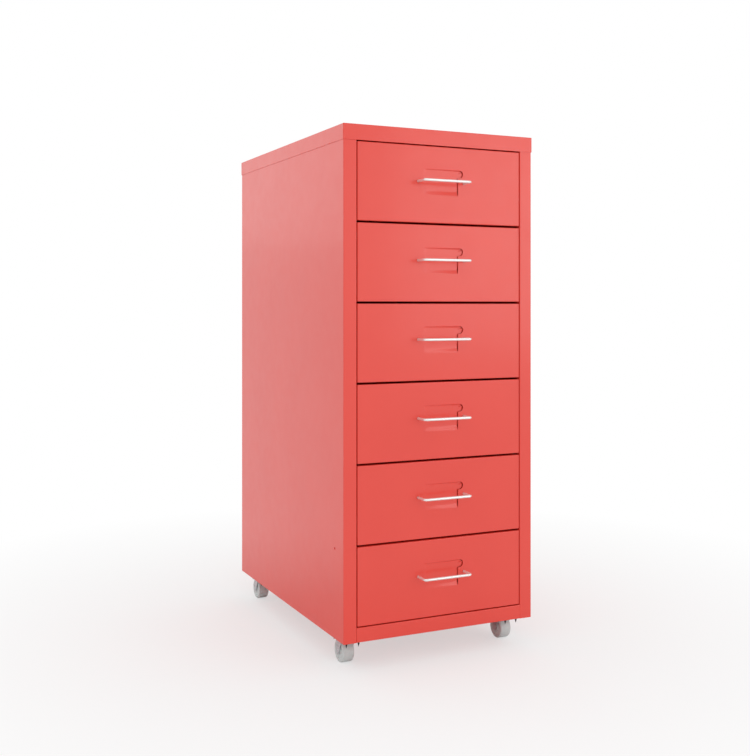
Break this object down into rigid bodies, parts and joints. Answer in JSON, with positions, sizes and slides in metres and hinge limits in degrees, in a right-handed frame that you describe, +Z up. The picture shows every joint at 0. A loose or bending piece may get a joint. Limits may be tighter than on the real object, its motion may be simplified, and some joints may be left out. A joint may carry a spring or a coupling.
{
  "type": "drawer cabinet",
  "caption": "Tall narrow sheet-steel drawer cabinet on swivel casters, with equal sliding drawers, wire bar handles and pressed label recesses.",
  "frame": {"origin": "on the floor under the middle of the whole box, handles included", "axes": "+Z up, the drawers face and open towards -Y, +X to the right seen from the front"},
  "size_m": [0.28, 0.43, 0.69],
  "materials": {
    "red_paint": "semi-gloss powder coat, light coral red",
    "bright_wire": "bright plated wire",
    "zinc_plate": "dull zinc plating",
    "grey_plastic": "smooth satin moulding"
  },
  "bodies": {
    "cabinet": {"left_side_panel": "red_paint", "right_side_panel": "red_paint", "back_panel": "red_paint", "back_rivets": "zinc_plate", "top_cover": "red_paint", "base_panel": "red_paint", "bottom_front_rail": "red_paint", "top_front_rail": "red_paint", "rail_rivets": "zinc_plate", "left_runners": "red_paint", "right_runners": "red_paint", "caster_screws": "zinc_plate", "caster_plate_front_left": "zinc_plate", "caster_plate_front_right": "zinc_plate", "caster_plate_rear_left": "zinc_plate", "caster_plate_rear_right": "zinc_plate", "caster_kingpins": "zinc_plate"},
    "drawer_1": {"drawer_1_front": "red_paint", "drawer_1_floor": "red_paint", "drawer_1_walls": "red_paint", "drawer_1_handle": "bright_wire", "drawer_1_push_nuts": "zinc_plate"},
    "drawer_2": {"drawer_2_front": "red_paint", "drawer_2_floor": "red_paint", "drawer_2_walls": "red_paint", "drawer_2_handle": "bright_wire", "drawer_2_push_nuts": "zinc_plate"},
    "drawer_3": {"drawer_3_front": "red_paint", "drawer_3_floor": "red_paint", "drawer_3_walls": "red_paint", "drawer_3_handle": "bright_wire", "drawer_3_push_nuts": "zinc_plate"},
    "drawer_4": {"drawer_4_front": "red_paint", "drawer_4_floor": "red_paint", "drawer_4_walls": "red_paint", "drawer_4_handle": "bright_wire", "drawer_4_push_nuts": "zinc_plate"},
    "drawer_5": {"drawer_5_front": "red_paint", "drawer_5_floor": "red_paint", "drawer_5_walls": "red_paint", "drawer_5_handle": "bright_wire", "drawer_5_push_nuts": "zinc_plate"},
    "drawer_6": {"drawer_6_front": "red_paint", "drawer_6_floor": "red_paint", "drawer_6_walls": "red_paint", "drawer_6_handle": "bright_wire", "drawer_6_push_nuts": "zinc_plate"},
    "fork_front_left": {"caster_fork_front_left": "zinc_plate", "caster_axle_front_left": "zinc_plate"},
    "wheel_front_left": {"caster_wheel_front_left": "grey_plastic"},
    "fork_front_right": {"caster_fork_front_right": "zinc_plate", "caster_axle_front_right": "zinc_plate"},
    "wheel_front_right": {"caster_wheel_front_right": "grey_plastic"},
    "fork_rear_left": {"caster_fork_rear_left": "zinc_plate", "caster_axle_rear_left": "zinc_plate"},
    "wheel_rear_left": {"caster_wheel_rear_left": "grey_plastic"},
    "fork_rear_right": {"caster_fork_rear_right": "zinc_plate", "caster_axle_rear_right": "zinc_plate"},
    "wheel_rear_right": {"caster_wheel_rear_right": "grey_plastic"}
  },
  "joints": [
    {"name": "drawer_1_slide", "type": "slide", "parent": "cabinet", "child": "drawer_1", "axis": [0, -1, 0], "range_m": [0, 0.29]},
    {"name": "drawer_2_slide", "type": "slide", "parent": "cabinet", "child": "drawer_2", "axis": [0, -1, 0], "range_m": [0, 0.29]},
    {"name": "drawer_3_slide", "type": "slide", "parent": "cabinet", "child": "drawer_3", "axis": [0, -1, 0], "range_m": [0, 0.29]},
    {"name": "drawer_4_slide", "type": "slide", "parent": "cabinet", "child": "drawer_4", "axis": [0, -1, 0], "range_m": [0, 0.29]},
    {"name": "drawer_5_slide", "type": "slide", "parent": "cabinet", "child": "drawer_5", "axis": [0, -1, 0], "range_m": [0, 0.29]},
    {"name": "drawer_6_slide", "type": "slide", "parent": "cabinet", "child": "drawer_6", "axis": [0, -1, 0], "range_m": [0, 0.29]},
    {"name": "swivel_front_left", "type": "hinge", "parent": "cabinet", "child": "fork_front_left", "pos_m": [-0.1185, -0.155, 0.03], "axis": [0, 0, 1], "continuous": true},
    {"name": "roll_front_left", "type": "hinge", "parent": "fork_front_left", "child": "wheel_front_left", "pos_m": [-0.1185, -0.149, 0.015], "axis": [1, 0, 0], "continuous": true},
    {"name": "swivel_front_right", "type": "hinge", "parent": "cabinet", "child": "fork_front_right", "pos_m": [0.1185, -0.155, 0.03], "axis": [0, 0, 1], "continuous": true},
    {"name": "roll_front_right", "type": "hinge", "parent": "fork_front_right", "child": "wheel_front_right", "pos_m": [0.1185, -0.149, 0.015], "axis": [1, 0, 0], "continuous": true},
    {"name": "swivel_rear_left", "type": "hinge", "parent": "cabinet", "child": "fork_rear_left", "pos_m": [-0.1185, 0.175, 0.03], "axis": [0, 0, 1], "continuous": true},
    {"name": "roll_rear_left", "type": "hinge", "parent": "fork_rear_left", "child": "wheel_rear_left", "pos_m": [-0.1185, 0.181, 0.015], "axis": [1, 0, 0], "continuous": true},
    {"name": "swivel_rear_right", "type": "hinge", "parent": "cabinet", "child": "fork_rear_right", "pos_m": [0.1185, 0.175, 0.03], "axis": [0, 0, 1], "continuous": true},
    {"name": "roll_rear_right", "type": "hinge", "parent": "fork_rear_right", "child": "wheel_rear_right", "pos_m": [0.1185, 0.181, 0.015], "axis": [1, 0, 0], "continuous": true}
  ]
}
